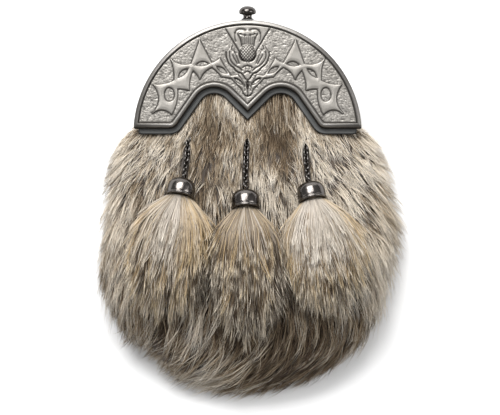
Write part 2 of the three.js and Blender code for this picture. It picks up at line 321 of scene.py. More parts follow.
def cantleOutline(radius, drop, cornerRound=cantle["cornerRound"]):
    c = cantle
    bottom = c["footLevel"] - drop
    arch = c["archRadius"] - drop
    footAngle = math.pi / 2 - c["footSlope"]
    pointAngle = math.pi / 2 + c["pointSlope"]
    footX = c["archX"] + arch * math.cos(footAngle)
    footY = c["archY"] + arch * math.sin(footAngle)
    innerX = footX + (footY - bottom) / math.tan(c["footSlope"])
    pointX = c["archX"] + arch * math.cos(pointAngle)
    pointY = c["archY"] + arch * math.sin(pointAngle) - pointX * math.tan(c["pointSlope"])
    outerAngle = math.asin(bottom / radius)
    outerX = radius * math.cos(outerAngle)
    half = [(0, pointY)]
    half += arcPoints(c["archX"], c["archY"], arch, pointAngle, footAngle, c["archSteps"])
    half += roundCorner((footX, footY), (innerX, bottom), (outerX, bottom), cornerRound * 2)
    riseAngle = outerAngle + cornerRound / radius
    rise = (radius * math.cos(riseAngle), radius * math.sin(riseAngle))
    half += roundCorner((innerX, bottom), (outerX, bottom), rise, cornerRound)
    half += arcPoints(0, 0, radius, riseAngle, math.pi / 2, c["arcSteps"])[1:]
    mirrored = [(-x, y) for x, y in reversed(half[1:-1])]
    return [(x, y + c["centreY"]) for x, y in half + mirrored]


def quadratic(start, bend, end, steps, endpoint=True):
    start, bend, end = np.array(start), np.array(bend), np.array(end)
    return [tuple(start * (1 - t) ** 2 + bend * 2 * t * (1 - t) + end * t ** 2)
            for t in np.linspace(0, 1, steps, endpoint=endpoint)]


def roundCorner(before, corner, after, radius, steps=6):
    # a curve that starts and ends at radius from the corner
    before, corner, after = Vector(before), Vector(corner), Vector(after)
    a = corner + (before - corner).normalized() * min(radius, (before - corner).length)
    b = corner + (after - corner).normalized() * min(radius, (after - corner).length)
    return quadratic(a, corner, b, steps)


def slabFromOutline(outline, base, top, bevel, segments=3):
    bm = bmesh.new()
    face = bm.faces.new([bm.verts.new((x * mm, y * mm, base * mm)) for x, y in outline])
    grown = bmesh.ops.extrude_face_region(bm, geom=[face], use_keep_orig=True)
    raised = [v for v in grown["geom"] if isinstance(v, bmesh.types.BMVert)]
    bmesh.ops.translate(bm, verts=raised, vec=(0, 0, (top - base) * mm))
    bmesh.ops.recalc_face_normals(bm, faces=bm.faces)
    rims = [e for e in bm.edges if len({round(v.co.z, 6) for v in e.verts}) == 1]
    bmesh.ops.bevel(bm, geom=rims, offset=bevel * mm, segments=segments, profile=0.5,
                    affect="EDGES", material=-1)
    return bm


def addPatinaAndShade(bm, values):
    # how much dark patina and painted shade each vertex carries, from 0 to 1
    layer = bm.verts.layers.float.new("patinaAndShade")
    for v, value in zip(bm.verts, values):
        v[layer] = value


# Rim of the cantle: a band that slopes outwards round the arc and is a flat bead along the arches
rimProfile = table("inward rise arches", [
    (0, -0.2, -0.2), (0.04, 0.5, 0.6), (0.2, 0.76, 0.95), (0.5, 0.94, 1.22), (1.0, 1.18, 1.4),
    (1.5, 1.38, 1.43), (1.9, 1.5, 1.36), (2.15, 1.52, 1.22), (2.36, 1.36, 0.98), (2.5, 0.9, 0.6),
    (2.6, -0.2, -0.2),
])


def onArc(x, y):
    # 1 along the arc of the cantle's edge, 0 along its arches
    return float(smoothStep(*cantle["arcFade"], math.hypot(x, y - cantle["centreY"])))


# Cantle body: flat plate, edge turned down round the yoke, rim on top
def buildCantleBody():
    c = cantle
    outline = cantleOutline(c["radius"], c["flange"])
    plate = slabFromOutline(outline, c["plateBase"], c["ground"] - c["plateSink"], c["plateEdge"])
    # near-black plate: blackened casting, and painted shadow where it shows past the rim along the arches and
    # feet
    addPatinaAndShade(plate, [c["plateBlackAndShadow"]] * len(plate.verts))
    finishPiece("cantlePlate", plate, pewter, "cantle")

    feet = math.asin((c["footLevel"] + c["skirtFoot"]) / c["radius"])
    ends = [feet, math.pi - feet]
    outside = arcPoints(0, c["centreY"], c["radius"] - c["skirtInset"], *ends, c["skirtSteps"])
    inside = arcPoints(0, c["centreY"], c["radius"] - c["skirtWidth"], *reversed(ends), c["skirtSteps"])
    top = c["ground"] - c["skirtSink"]
    skirt = slabFromOutline(outside + inside, c["skirtBase"], top, c["skirtEdge"], 2)
    finishPiece("cantleSkirt", skirt, pewter)

    bm = bmesh.new()
    rings = []
    for row in rimProfile:
        inward = row["inward"]
        cornerRound = c["cornerRound"] - c["rimSharpens"] * inward
        verts = []
        for x, y in cantleOutline(c["radius"] - inward, -inward, cornerRound):
            share = onArc(x, y)
            rise = row["rise"] * share + row["arches"] * (1 - share)
            verts.append(bm.verts.new((x * mm, y * mm, (c["ground"] + rise) * mm)))
        rings.append([bm.edges.new((verts[k - 1], verts[k])) for k in range(len(verts))])
    for ring, other in zip(rings, rings[1:] + rings[:1]):
        bmesh.ops.bridge_loops(bm, edges=ring + other)
    bmesh.ops.recalc_face_normals(bm, faces=bm.faces)
    # painted shade on the rim: none at the top of the arc, darker down its sides
    sideShade = []
    for v in bm.verts:
        x, y = v.co.x / mm, v.co.y / mm
        fade = float(smoothStep(*c["rimShadeFade"], (y - c["centreY"]) / c["radius"]))
        sideShade.append(c["rimSideShade"] * onArc(x, y) * fade)
    addPatinaAndShade(bm, sideShade)
    finishPiece("cantleRim", bm, rubbedPewter)


# Relief of the cantle's face: left half as drawn about the arc's centre, the right mirrors it.
# sag bows the run to the next corner, into the strap where it is positive
strapCorners = table("x y sag", [
    (-58.5, 12.9, 3.85), (-57.9, 30.8, 1.1), (-45.1, 33.2, 0.9), (-47.3, 46.5, 1.8), (-34.7, 43.3, 0),
    (-29.5, 58.1, 0), (-22.0, 43.9, 0.3), (-17.0, 46.9, 0.4), (-10.0, 36.0, 0), (-5.7, 36.6, 0),
    (-2.0, 30.4, 0), (-2.6, 27.1, 0), (-9.8, 34.5, 0), (-15.9, 35.4, 0.4), (-21.8, 41.3, 1.2),
    (-29.3, 33.9, 0.5), (-33.5, 39.5, 0.9), (-36.0, 27.1, 0.3), (-43.2, 28.0, -1.2), (-46.6, 12.3, 2.6),
])
strapOval = {"x": -48.05, "y": 24.5, "halfWidth": 3.4, "halfHeight": 4.46, "steps": 28}
strapLenses = table("from to over under", [
    ((-42.9, 34.4), (-36.2, 40.5), 2.0, 1.15),
    ((-32.3, 42.6), (-23.4, 43.3), 2.07, 1.15),
    ((-19.5, 41.9), (-12.0, 37.2), 1.6, 1.55),
    ((-8.5, 34.4), (-2.1, 30.2), 1.46, 1.14),
])
thistleShapes = table("name rise outline", [
    ("panel", 0.4, [(3, 67.6), (-14.6, 67), (-13.4, 64.6), (-5.05, 50.8), (3, 49.4)]),
    ("petals", 0.95, [(3, 64.2), (-1.4, 63.6), (-3.4, 63.2), (-5.6, 62.4), (-4.2, 61.2), (-1.6, 60.6),
                      (3, 60.6)]),
    ("tuft", 0.7, [(3, 60.8), (-4.8, 60.8), (-4.3, 58), (-3.7, 55.2), (3, 54.6)]),
    ("leaves", 0.8, [(-10, 55.4), (-11.2, 53), (-12.7, 51), (-13.2, 48.8), (-12.8, 46.6), (-12, 44.6),
                     (-10.6, 42.4), (-8.6, 40.9), (-7.4, 39.4), (-5.8, 38.2), (-3.8, 37.6), (-2.8, 36.6),
                     (-1.2, 33.9), (0.6, 33.4), (0.6, 45), (-3.2, 45.2), (-4.8, 47.3), (-5.6, 49.8),
                     (-6.8, 49.6), (-8.5, 52.2), (-9.3, 50.8), (-9.4, 53)]),
    ("stem", 1.2, [(3, 44.7), (-0.7, 44.7), (-0.6, 42.6), (3, 42.6)]),
    ("foot", 0.8, [(3, 29), (-1.6, 29), (-3.3, 27.4), (-3.3, 25.6), (-1.9, 23.8), (0, 23), (3, 23)]),
])
engravedLines = table("width points", [
    (0.48, [(-13.4, 64.6), (-5.05, 50.8), (-4.9, 48.2), (-3.6, 45.9), (-1.6, 44.8)]),
    (0.5, [(-1.4, 64.1), (-3, 64.55), (-5.2, 64.6), (-6.9, 63.8), (-7.8, 62.2)]),
    (0.36, [(-7.8, 62.2), (-7.95, 60.4), (-7.8, 58.8), (-7.2, 57)]),
    (0.48, [(-6.05, 61.5), (-5, 59.7), (-4.2, 57.5), (-3.9, 55.8), (-3.8, 54.2)]),
    (0.62, [(-4.3, 61.9), (-4.2, 61.7)]),
    (0.6, [(-1.6, 60.9), (-1.6, 60.6)]),
    (0.4, [(-9.55, 54.2), (-9.9, 52.2)]),
    (0.46, [(-11.1, 50.6), (-11.2, 48.4), (-10.8, 46.4), (-10, 44.8), (-8.6, 43), (-7, 41.7),
            (-4.9, 40.6), (-3.3, 39.2)]),
    (0.46, [(-13.3, 50.4), (-13.3, 48.2), (-12.6, 46), (-11.7, 43.6), (-10, 41.9), (-8.4, 40.8),
            (-7.4, 39.2), (-5.9, 38), (-4, 37.4), (-3, 36.6), (-1.2, 33.8)]),
    (0.42, [(-8.6, 51.8), (-7.5, 49.8), (-6.9, 48), (-6, 45.8), (-5.1, 43.4)]),
    (0.4, [(-9.1, 48.6), (-8.3, 46.8), (-7, 44.8), (-6.2, 43.2)]),
    (0.5, [(-3, 40.7), (-2.1, 41.6), (0, 41.95)]),
    (0.5, [(-1.8, 37.5), (-1.1, 38.3), (0, 38.5)]),
    (0.28, [(-1.3, 41), (-0.9, 39.8)]),
    (0.5, [(-7.9, 34.5), (-6, 33.8), (-4, 32.4), (-2.1, 30.2)]),
    (0.55, [(0, 32.6), (-0.9, 31.7), (-0.6, 30), (-0.15, 28)]),
    (0.5, [(0, 32), (0, 23.6)]),
    (0.46, [(-3.1, 26.6), (-2.6, 25), (-1.3, 23.7), (0, 23.3)]),
    (0.4, [(-1.7, 28), (-1.7, 26.8)]),
])
relief = {
    "cell": 0.33,
    "bevel": 0.42,
    "strapRise": 0.95,
    "strapCrown": 0.12,           # more rise towards the middle of a strap
    "crownSpan": (-0.4, -2.2),    # pairs are distances from an edge, negative inside it
    "within": (0.1, -0.4),
    "edgeFade": (-0.2, -1.1),     # relief and patina fade out towards the rim
    "patinaFade": (-0.2, -0.9),
    "strapSeam": {"middle": 0.42, "width": 0.36, "shade": 0.95},
    "leafSeam": {"middle": 0.3, "width": 0.28, "shade": 0.7},
    "tuft": {"pitch": 1.15, "rise": 0.16, "shade": 0.3, "between": 0.45},
    "bulb": {"y": 49.9, "halfWidth": 4.75, "halfHeight": 5.3, "base": 0.35, "dome": 0.975,
             "scaleY": 52.2, "across": 1.85, "down": 2.06, "scaleRise": 0.3, "between": 0.9,
             "rimShade": 0.35, "seamShade": 0.9, "seam": 1.02, "seamWidth": 0.06, "seamUnder": (53, 50)},
    "cut": 0.45,                  # depth of an engraved line
    "pebbles": table("pitch rise", [(3.4, 0.07), (1.1, 0.1)]),
    "pebbleReach": 0.6,           # half a pebble, as a share of the pitch
    "pebbleShade": 0.25,
    "groove": {"middle": -0.15, "width": 0.4, "depth": 0.35},     # black line inside the rim
    "margin": 0.9,                # the relief ends this far under the rim
    "seed": 4,
}


def bowedRun(start, end, sag, steps=7):
    # points from start up to, not at, end, bowed to the right of the way by sag
    dx, dy = end[0] - start[0], end[1] - start[1]
    length = math.hypot(dx, dy)
    bend = (start[0] + dx / 2 + 2 * sag * dy / length, start[1] + dy / 2 - 2 * sag * dx / length)
    return quadratic(start, bend, end, steps, False)


def lineDistance(x, y, points, closed):
    # distance from each place to a run of points, and whether a closed run holds it
    points = np.array(points, float)
    ends = np.roll(points, -1, axis=0) if closed else points[1:]
    starts = points if closed else points[:-1]
    best = np.full(x.shape, 1e9)
    inside = np.zeros(x.shape, bool)
    for (ax, ay), (bx, by) in zip(starts, ends):
        dx, dy = bx - ax, by - ay
        t = np.clip(((x - ax) * dx + (y - ay) * dy) / (dx * dx + dy * dy + 1e-12), 0, 1)
        best = np.minimum(best, np.hypot(x - ax - t * dx, y - ay - t * dy))
        crossing = (ay > y) != (by > y)
        inside ^= crossing & (x < dx * (y - ay) / (by - ay + 1e-12) + ax)
    return best, inside


def signedDistance(x, y, points):
    # negative inside the closed run
    distance, inside = lineDistance(x, y, points, True)
    return np.where(inside, -distance, distance)


def pebbleField(x, y, pitch, rng):
    # distance to the nearest of one jittered bump per cell
    jitter = rng.random((256, 256, 2))
    col, row = np.floor(x / pitch).astype(int), np.floor(y / pitch).astype(int)
    best = np.full(x.shape, 1e9)
    for dc in (-1, 0, 1):
        for dr in (-1, 0, 1):
            spot = jitter[(col + dc) % 256, (row + dr) % 256]
            px, py = (col + dc + spot[..., 0]) * pitch, (row + dr + spot[..., 1]) * pitch
            best = np.minimum(best, np.hypot(x - px, y - py))
    return best / pitch


def strapGap(side, y):
    # distance to the straps on one side, negative on them
    straps = []
    for a, b in zip(strapCorners, strapCorners[1:] + strapCorners[:1]):
        straps += bowedRun((a["x"], a["y"]), (b["x"], b["y"]), a["sag"])
    gap = signedDistance(side, y, straps)
    o = strapOval
    oval = [(o["x"] + o["halfWidth"] * math.cos(a), o["y"] + o["halfHeight"] * math.sin(a))
            for a in np.linspace(0, 2 * math.pi, o["steps"], endpoint=False)]
    gap = np.maximum(gap, -signedDistance(side, y, oval))
    for lens in strapLenses:
        eye = bowedRun(lens["from"], lens["to"], -lens["over"])
        eye += bowedRun(lens["to"], lens["from"], -lens["under"])
        gap = np.maximum(gap, -signedDistance(side, y, eye))
    return gap


def reliefHeights(x, y):
    # rise over the ground and depth of patina at places about the arc's centre
    rng = np.random.default_rng(relief["seed"])
    side = -np.abs(x)
    bevel, seam, leafSeam = relief["bevel"], relief["strapSeam"], relief["leafSeam"]
    gap = strapGap(side, y)
    covered = smoothStep(bevel, -bevel, gap)
    rise = relief["strapRise"] * covered
    rise += relief["strapCrown"] * smoothStep(*relief["crownSpan"], gap)
    patinaAndShade = seam["shade"] * bell(gap, seam["middle"], seam["width"])

    for shape in thistleShapes:
        edge = signedDistance(side, y, shape["outline"])
        lift = shape["rise"] * smoothStep(bevel * 0.8, -bevel * 1.2, edge)
        within = smoothStep(*relief["within"], edge)
        patinaAndShade = patinaAndShade * (1 - within)
        if shape["name"] == "tuft":
            # fine upright hairs, blackened between
            tuft = relief["tuft"]
            comb = np.cos(x * 2 * math.pi / tuft["pitch"])
            lift += tuft["rise"] * comb * within
            dark = tuft["shade"] + tuft["between"] * smoothStep(0.3, -0.8, comb)
            patinaAndShade = np.maximum(patinaAndShade, within * dark)
        if shape["name"] == "leaves":
            patinaAndShade = np.maximum(patinaAndShade, leafSeam["shade"] * bell(edge, leafSeam["middle"], leafSeam["width"]))
        rise = np.maximum(rise, lift)
        covered = np.maximum(covered, smoothStep(bevel, -bevel, edge))

    # bulb of the thistle: a dome of scales in crossing rows
    b = relief["bulb"]
    swell = np.hypot(x / b["halfWidth"], (y - b["y"]) / b["halfHeight"])
    dome = b["dome"] * np.sqrt(np.clip(1 - swell ** 2, 0, 1)) ** 0.7
    across, down = x / b["across"], (y - b["scaleY"]) / b["down"]
    scale = np.abs(np.cos(math.pi * (across + down))) * np.abs(np.cos(math.pi * (across - down)))
    scaled = b["base"] + dome + b["scaleRise"] * np.sqrt(scale)
    rise = np.where(swell < 1, np.maximum(rise, scaled), rise)
    shade = b["between"] * smoothStep(0.6, 0.15, scale) + b["rimShade"] * smoothStep(0.6, 1, swell)
    patinaAndShade = np.where(swell < 1, shade, patinaAndShade)
    seamLine = b["seamShade"] * bell(swell, b["seam"], b["seamWidth"])
    patinaAndShade = np.maximum(patinaAndShade, seamLine * smoothStep(*b["seamUnder"], y))
    covered = np.where(swell < 1, 1, covered)

    for line in engravedLines:
        edge, _ = lineDistance(side, y, line["points"], False)
        mark = bell(edge, 0, line["width"])
        rise -= relief["cut"] * mark
        patinaAndShade = np.maximum(patinaAndShade, mark)

    specks = 0
    for pebble in relief["pebbles"]:
        grain = pebbleField(x + 0.4 * y, y, pebble["pitch"], rng)
        rise += (1 - covered) * pebble["rise"] * (1 - (grain / relief["pebbleReach"]) ** 2)
        specks = specks + relief["pebbleShade"] * smoothStep(0.4, 0.8, grain) * (1 - covered)
    return rise, np.clip(np.maximum(patinaAndShade, specks), 0, 1)


def buildCantleRelief():
    c = cantle
    outline = cantleOutline(c["radius"], 0)
    halfX, high = c["radius"], c["radius"] + c["centreY"]
    low = min(y for _, y in outline)
    across, up = round(2 * halfX / relief["cell"]), round((high - low) / relief["cell"])
    bm = bmesh.new()
    place = Matrix.Translation((0, (low + high) / 2 * mm, 0))
    place = place @ Matrix.Diagonal((halfX * mm, (high - low) / 2 * mm, 1, 1))
    bmesh.ops.create_grid(bm, x_segments=across, y_segments=up, size=1, matrix=place)
    flat = np.array([v.co for v in bm.verts]) / mm
    edge = signedDistance(flat[:, 0], flat[:, 1], outline)
    rise, patinaAndShade = reliefHeights(flat[:, 0], flat[:, 1] - c["centreY"])
    inner = edge + c["rimWidth"]
    groove = bell(inner, relief["groove"]["middle"], relief["groove"]["width"])
    rise = rise * smoothStep(*relief["edgeFade"], inner) - relief["groove"]["depth"] * groove
    patinaAndShade = np.maximum(patinaAndShade * smoothStep(*relief["patinaFade"], inner), groove)
    addPatinaAndShade(bm, patinaAndShade)
    for v, height in zip(bm.verts, rise):
        v.co.z = (c["ground"] + height) * mm
    outside = [v for v, far in zip(bm.verts, edge) if far > -relief["margin"]]
    bmesh.ops.delete(bm, geom=outside, context="VERTS")
    finishPiece("cantleRelief", bm, pewter)


buildCantleBody()
buildCantleRelief()
print("cantle ready")


# Leather yoke behind the cantle: grey grain side, black inked cut edge
yoke = {"radius": 67.2, "drop": 4.2, "base": 20.9, "top": 23.9, "cornerRound": 2.6, "edgeRound": 0.7,
        "grainSlope": 0.98}       # faces that turn up at least this much show the grain


def buildYoke():
    outline = cantleOutline(yoke["radius"], yoke["drop"], yoke["cornerRound"])
    bm = slabFromOutline(outline, yoke["base"], yoke["top"], yoke["edgeRound"])
    bm.normal_update()
    for face in bm.faces:
        face.material_index = 0 if face.normal.z > yoke["grainSlope"] else 1
    finishPiece("cantleBacking", bm, [yokeLeather, edgeInk], "cantle_backing", False)


buildYoke()


def nodePoints(name):
    # the node's own corner points, once each
    points = np.array([v.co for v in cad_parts[name].data.vertices])
    return np.unique(np.round(points, 6), axis=0)


def spinRound(bm, geom, steps):
    bmesh.ops.spin(bm, geom=geom, cent=(0, 0, 0), axis=(0, 0, 1), angle=2 * math.pi, steps=steps,
                   use_merge=True)


def facing(spot, way, ahead, up):
    # place at a spot with a piece's own axis ahead turned along the way
    return Matrix.Translation(spot) @ way.to_track_quat(ahead, up).to_matrix().to_4x4()


def lathe(profile, place, steps=40):
    # profile is radius and height in millimetres, spun about z and then placed
    bm = bmesh.new()
    verts = [bm.verts.new((r * mm, 0, h * mm)) for r, h in profile]
    edges = [bm.edges.new(pair) for pair in zip(verts, verts[1:])]
    spinRound(bm, verts + edges, steps)
    bmesh.ops.remove_doubles(bm, verts=bm.verts, dist=1e-7)
    bmesh.ops.recalc_face_normals(bm, faces=bm.faces)
    bmesh.ops.transform(bm, matrix=place, verts=bm.verts)
    return bm


def smoothProfile(points, steps=4):
    # Catmull-Rom through the points, so that a turned profile has no facets
    points = np.array(points, float)
    padded = np.vstack([2 * points[0] - points[1], points, 2 * points[-1] - points[-2]])
    out = []
    for i in range(len(points) - 1):
        a, b, c, d = padded[i:i + 4]
        for t in np.linspace(0, 1, steps, endpoint=False):
            out.append(0.5 * (2 * b + (c - a) * t + (2 * a - 5 * b + 4 * c - d) * t * t
                              + (3 * b - a - 3 * c + d) * t ** 3))
    return [(max(r, 0), h) for r, h in out + [points[-1]]]


# Turned knob on the cantle's top edge: smoothed radius and height above the edge
knob = {
    "axisZ": 24.15,
    "profile": [(0, 0), (3.7, 0), (3.9, 0.3), (3.6, 0.7), (2.85, 1.2), (2.7, 2), (2.75, 2.7), (3.2, 3.1),
                (4.6, 3.4), (5.25, 4.2), (5.35, 5.1), (5.05, 6.2), (4.2, 7.3), (2.9, 8.1), (1.4, 8.5),
                (0, 8.6)],
}


def buildKnob():
    low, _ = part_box("clasp_knob")
    place = Matrix.Translation((0, low.y, knob["axisZ"] * mm)) @ Matrix.Rotation(-math.pi / 2, 4, "X")
    bm = lathe(smoothProfile(knob["profile"], 3), place)
    finishPiece("claspKnob", bm, nickel, "clasp_knob")


# Bell caps: straight rim with a bead, round dome, small boss where the chain enters
cap = {
    "profile": [(6.9, 0.15), (7.6, 0), (8.4, 0.15), (8.75, 0.6), (8.7, 1.1), (8.5, 1.4), (8.5, 1.8),
                (8.6, 2.6), (8.62, 4.4), (8.55, 6.2), (8.2, 7.8), (7.4, 9.3), (6.1, 10.5), (4.4, 11.3),
                (2.9, 11.7), (2.0, 11.85), (1.7, 12), (1.6, 12.15), (1.1, 12.3), (0, 12.35)],
    "inner": [(6.9, 0.15), (6.85, 1.5), (6.6, 4), (4.6, 8), (0, 9)],
}


def lineOf(name):
    # axis of a turned CAD node: its rim's centre and the way to its top
    points = nodePoints(name)
    middle = points.mean(0)
    spread, vectors = np.linalg.eigh(np.cov((points - middle).T))
    odd = 0 if spread[1] - spread[0] > spread[2] - spread[1] else 2
    axis = vectors[:, odd]
    along = (points - middle) @ axis
    wide = np.linalg.norm(points - middle - np.outer(along, axis), axis=1)
    if wide[along > np.percentile(along, 80)].mean() > wide[along < np.percentile(along, 20)].mean():
        axis, along = -axis, -along
    return Vector(middle + axis * along.min()), Vector(axis)


def buildCaps():
    shell = list(reversed(smoothProfile(cap["inner"], 3))) + smoothProfile(cap["profile"], 4)[1:]
    for side in tasselSides:
        rim, axis = lineOf("tassel_cap_" + side)
        bm = lathe(shell, facing(rim, axis, "Z", "Y"), 48)
        finishPiece("tasselCap_" + side, bm, satinNickel, "tassel_cap_" + side)


# Curb chain: each oval link turned across the one before it. It comes out of the hair at a height
# and is sunk under the hair above that
chainOut = {"left": 35, "centre": 36, "right": 33.5}
chain = {"long": 5.6, "wide": 4.3, "wire": 0.7, "pitch": 3.3, "tilt": 42, "around": 14, "sides": 6,
         "straight": 0.8, "sunk": 3.5, "sunkFrom": 2, "sunkTo": 7, "samples": 400, "ahead": 0.5}


def buildChains():
    for side in tasselSides:
        points = nodePoints("tassel_chain_" + side)
        y = points[:, 1]
        middle = y.mean()
        runX = np.polyfit(y - middle, points[:, 0], 3)
        runZ = np.polyfit(y - middle, points[:, 2], 7)
        places = np.linspace(y.max(), y.min(), chain["samples"])
        above = places / mm - chainOut[side]
        sunk = chain["sunk"] * mm * smoothStep(chain["sunkFrom"], chain["sunkTo"], above)
        height = np.polyval(runZ, places - middle) - sunk
        route = np.stack([np.polyval(runX, places - middle), places, height], 1)
        gone = np.concatenate([[0], np.cumsum(np.linalg.norm(np.diff(route, axis=0), axis=1))])
        count = int(gone[-1] / (chain["pitch"] * mm))
        bm = bmesh.new()
        for i in range(count):
            s = (i + 0.5) * gone[-1] / count
            spot, ahead = [Vector([np.interp(at, gone, route[:, k]) for k in range(3)])
                           for at in (s, s + chain["ahead"] * mm)]
            turn = math.radians(chain["tilt"] * (1 if i % 2 else -1))
            addLink(bm, facing(spot, ahead - spot, "X", "Z") @ Matrix.Rotation(turn, 4, "X"))
        finishPiece("tasselChain_" + side, bm, nickel, "tassel_chain_" + side)


def addLink(bm, place):
    aside = Matrix.Translation((chain["wide"] / 2 * mm - chain["wire"] * mm, 0, 0))
    upright = Matrix.Rotation(math.pi / 2, 4, "X")
    ring = bmesh.ops.create_circle(bm, segments=chain["sides"], radius=chain["wire"] * mm,
                                   matrix=aside @ upright)["verts"]
    edges = list({e for v in ring for e in v.link_edges})
    before = set(bm.verts)
    spinRound(bm, ring + edges, chain["around"])
    verts = list(ring) + [v for v in bm.verts if v not in before]
    reach = (chain["long"] - chain["wide"]) / 2 * mm
    for v in verts:
        v.co.y += reach * max(-1, min(1, v.co.y / (chain["straight"] * mm)))
    bmesh.ops.rotate(bm, verts=verts, cent=(0, 0, 0), matrix=Matrix.Rotation(-math.pi / 2, 3, "Z"))
    bmesh.ops.transform(bm, matrix=place, verts=verts)


buildKnob()
buildCaps()
buildChains()
print("metal fittings ready")


# Hide of the pouch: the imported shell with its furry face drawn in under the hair
hide = {"sink": 8, "neckSink": 1.2, "neckStart": 30, "neckEnd": 44, "lowest": 0.2, "smoothing": 0.5}


def mergedNode(name):
    bm = bmesh.new()
    bm.from_mesh(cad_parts[name].data)
    bmesh.ops.remove_doubles(bm, verts=bm.verts, dist=1e-6)
    bmesh.ops.recalc_face_normals(bm, faces=bm.faces)
    bm.normal_update()
    return bm


def outerFaces(bm):
    # faces off the floor whose way out meets nothing else of the same solid
    clear, farthest, floorGap = 0.02 * mm, 400 * mm, 0.1 * mm
    tree = BVHTree.FromBMesh(bm)
    found = []
    for face in bm.faces:
        middle = face.calc_center_median()
        hit = tree.ray_cast(middle + face.normal * clear, face.normal, farthest)[0]
        if hit is None and middle.z > floorGap:
            found.append(face)
    return found


def buildHide():
    bm = mergedNode("pouch_fur")
    outer = outerFaces(bm)
    verts = {v for face in outer for v in face.verts}
    for v in verts:
        fade = 1 - smoothStep(hide["neckStart"], hide["neckEnd"], v.co.y / mm)
        v.co -= v.normal * max(hide["sink"] * float(fade), hide["neckSink"]) * mm
        v.co.z = max(v.co.z, hide["lowest"] * mm)
    bmesh.ops.smooth_vert(bm, verts=list(verts), factor=hide["smoothing"], use_axis_x=True,
                          use_axis_y=True, use_axis_z=True)
    finishPiece("pouchHide", bm, undercoatAndShade, "pouch_fur")


buildHide()
print("hide ready")


# Hair: joined meshes of tapered strands, each drawn thicker than a real hair so that it shows
def strandMesh(name, lines, radii, tints, seed):
    # lines is strands by points by 3; each strand is three-sided and ends in one point
    count, points, _ = lines.shape
    rings = points - 1
    rng = np.random.default_rng(seed)
    tangents = unit(np.gradient(lines, axis=1))
    helper = np.where(np.abs(tangents[..., 2:3]) > 0.9, [1.0, 0, 0], [0, 0, 1.0])
    across = unit(np.cross(tangents, helper))
    over = np.cross(across, tangents)
    turn = rng.random((count, 1)) * 2 * math.pi
    corners = []
    for k in range(3):
        a = turn + k * 2 * math.pi / 3
        offset = np.cos(a)[..., None] * across[:, :rings] + np.sin(a)[..., None] * over[:, :rings]
        corners.append(lines[:, :rings] + offset * radii[:, :rings, None])
    body = np.stack(corners, 2).reshape(count, rings * 3, 3)
    verts = np.concatenate([body, lines[:, -1:, :]], 1)
    each = rings * 3 + 1
    tris, rise = [(0, 2, 1)], [(0, 0, 0)]
    for r in range(rings - 1):
        for k in range(3):
            a, b = r * 3 + k, r * 3 + (k + 1) % 3
            tris += [(a, b, b + 3), (a, b + 3, a + 3)]
            rise += [(r, r, r + 1), (r, r + 1, r + 1)]
    for k in range(3):
        tris.append((rings * 3 - 3 + k, rings * 3 - 3 + (k + 1) % 3, rings * 3))
        rise.append((rings - 1, rings - 1, rings))
    tris, rise = np.array(tris), np.array(rise) / rings
    faces = (tris[None] + (np.arange(count) * each)[:, None, None]).reshape(-1, 3)
    mesh = bpy.data.meshes.new(name)
    mesh.vertices.add(count * each)
    mesh.vertices.foreach_set("co", verts.reshape(-1).astype(np.float32))
    mesh.loops.add(faces.size)
    mesh.loops.foreach_set("vertex_index", faces.reshape(-1).astype(np.int32))
    mesh.polygons.add(len(faces))
    mesh.polygons.foreach_set("loop_start", np.arange(0, faces.size, 3, dtype=np.int32))
    # u is the strand's tint, with a little width so that no face is a line in the map; v runs to the tip
    layer = mesh.uv_layers.new(name="OFBake")
    shape = (count, *rise.shape)
    u = np.broadcast_to(tints[:, None, None] + np.array([-0.0015, 0.0015, 0]), shape)
    uv = np.stack([u, np.broadcast_to(rise, shape)], -1)
    layer.data.foreach_set("uv", np.clip(uv, 0.002, 0.998).reshape(-1).astype(np.float32))
    mesh.update(calc_edges=True)
    return mesh


def strandRadii(radius, count, shape, rng):
    # each strand has its own thickness and the shape's taper
    return radius * rng.uniform(0.75, 1.25, (count, 1)) * shape[None]


# two coats on the pouch: short dark undercoat close to the hide, long guard hair in locks over it
coats = {
    "pouchUndercoat": {"locks": 3000, "perLock": 4, "points": 3, "length": (13, 18), "layer": (-4.6, -2.8),
                       "lockWidth": 4.5, "lockThick": 1.0, "gather": 0.3, "radius": 0.3, "tint": 0.4,
                       "guard": False, "pieces": 1, "seed": 5},
    "pouchHair": {"locks": 6100, "perLock": 5, "points": 4, "length": (22, 34), "layer": (-2.6, 2.2),
                  "lockWidth": 3.0, "lockThick": 1.7, "gather": 0.76, "radius": 0.185, "tint": 0.79,
                  "guard": True, "pieces": 4, "seed": 11},
}
# how both coats grow, in millimetres and degrees; pairs of heights run from the first to the second
growth = {
    "denser": (15, 42),           # more locks towards the mouth
    "density": 2.2,
    "underYoke": 7,
    "lowestRoot": 0.8,
    "lowestLock": 0.5,
    "lowest": 0.45,
    "longer": (40, -10),          # hair grows longer down the pouch
    "lengthSpread": (0.75, 1.15),
    "lowRoots": (3, 22),          # and shorter near the floor
    "lowLength": 0.6,
    "bend": 9,
    "neck": (24, 42),             # close to the yoke the hair lies higher, over its roots
    "neckLayer": 0.55,
    "neckLift": 2,
    "neckRoots": 0.88,
    "rootSink": 6.0,              # how deep the roots start under the coat's surface
    "layerGain": 2.2,             # how soon a hair rises to its layer
    "droop": 1.2,                 # tips sink by this, past the start of the droop
    "droopFrom": 0.7,
    "upright": 0.62,              # faces that rise less than this let the hair hang free
    "freeFrom": 0.25,
    "freeGain": 1.7,
    "hug": 0.9,                   # how closely the hair follows the face, and less where it is steep
    "hugLoss": 0.6,
    "turning": 0.6,               # share of the flow in each step's way
    "wave": {"size": 0.9, "turns": 5.5, "own": 0.5, "ownTurns": 7, "tips": 0.7},
    "stretch": (0.82, 1.1),
    "taper": 0.88,
    "lockTint": 0.17,
    "bottomTint": 0.15,           # locks differ more at the bottom of the pouch
    "bottom": (-60, -95),
    "strandTint": 0.12,
}
# lighter and darker streaks of the coat: how many, half width, strength
streaks = table("count width strength", [(60, (7, 14), 0.2), (320, (2.2, 5), 0.3)])
streakArea = ((-92, -118), (95, 62))
streakLong = 2.2
